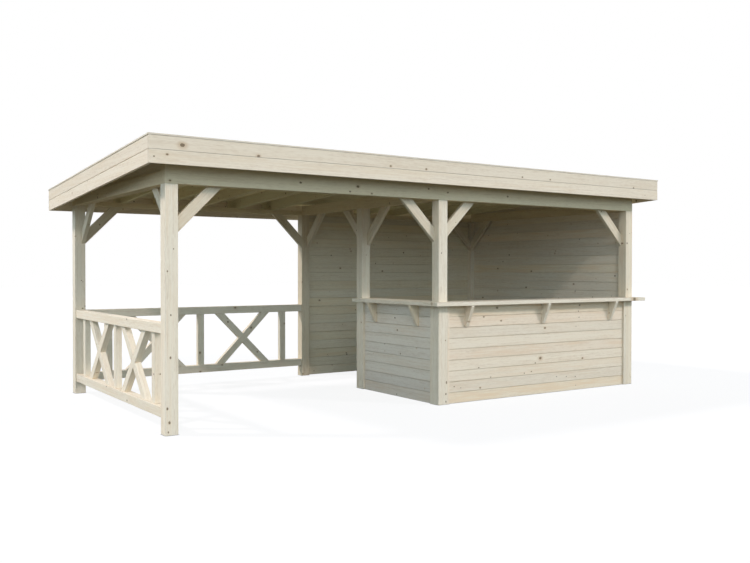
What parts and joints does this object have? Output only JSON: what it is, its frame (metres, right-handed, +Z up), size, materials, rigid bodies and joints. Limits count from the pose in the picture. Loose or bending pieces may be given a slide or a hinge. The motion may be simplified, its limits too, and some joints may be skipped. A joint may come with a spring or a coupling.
{
  "type": "garden gazebo with bar",
  "caption": "Open timber gazebo with a lean-to roof on square posts, crossed railings round the open bay and a board-walled bar with a counter in the other.",
  "frame": {"origin": "on the ground under the middle of the roof", "axes": "+X along the front to the right, seen from the front; +Y to the back; +Z up"},
  "size_m": [6.378, 3.468, 2.5095],
  "materials": {
    "post_timber": "planed bare spruce, matt",
    "frame_timber": "planed bare spruce, matt",
    "roof_board": "planed bare spruce boards, matt",
    "edge_board": "planed bare spruce boards, matt",
    "edge_trim": "planed bare spruce strip, matt",
    "wall_board": "grooved bare spruce boards, matt",
    "counter_board": "planed bare spruce board, matt",
    "railing_timber": "planed bare spruce, matt"
  },
  "bodies": {
    "root": {"post_front_left": "post_timber", "post_front_middle": "post_timber", "post_front_right": "post_timber", "post_back_left": "post_timber", "post_back_middle": "post_timber", "post_back_right": "post_timber", "post_bar_return": "post_timber", "front_beam": "frame_timber", "back_beam": "frame_timber", "left_beam": "frame_timber", "right_beam": "frame_timber", "cross_beam": "frame_timber", "rafters_open_bay": "frame_timber", "rafters_bar_bay": "frame_timber", "roof_boards": "roof_board", "gable_boards": "wall_board", "fascia_front": "edge_board", "fascia_back": "edge_board", "fascia_left": "edge_board", "fascia_right": "edge_board", "edge_trim_long": "edge_trim", "edge_trim_short": "edge_trim", "braces_front": "frame_timber", "braces_back": "frame_timber", "braces_left": "frame_timber", "braces_right": "frame_timber", "braces_cross": "frame_timber", "wall_back": "wall_board", "wall_right": "wall_board", "wall_bar_front": "wall_board", "wall_bar_return": "wall_board", "battens_bar": "wall_board", "battens_rear": "wall_board", "counter_front": "counter_board", "counter_return": "counter_board", "brackets_front": "counter_board", "brackets_return": "counter_board", "railing_left_rails": "railing_timber", "railing_left_uprights": "railing_timber", "railing_left_rising": "railing_timber", "railing_left_falling": "railing_timber", "railing_back_rails": "railing_timber", "railing_back_uprights": "railing_timber", "railing_back_rising": "railing_timber", "railing_back_falling": "railing_timber"}
  },
  "joints": []
}
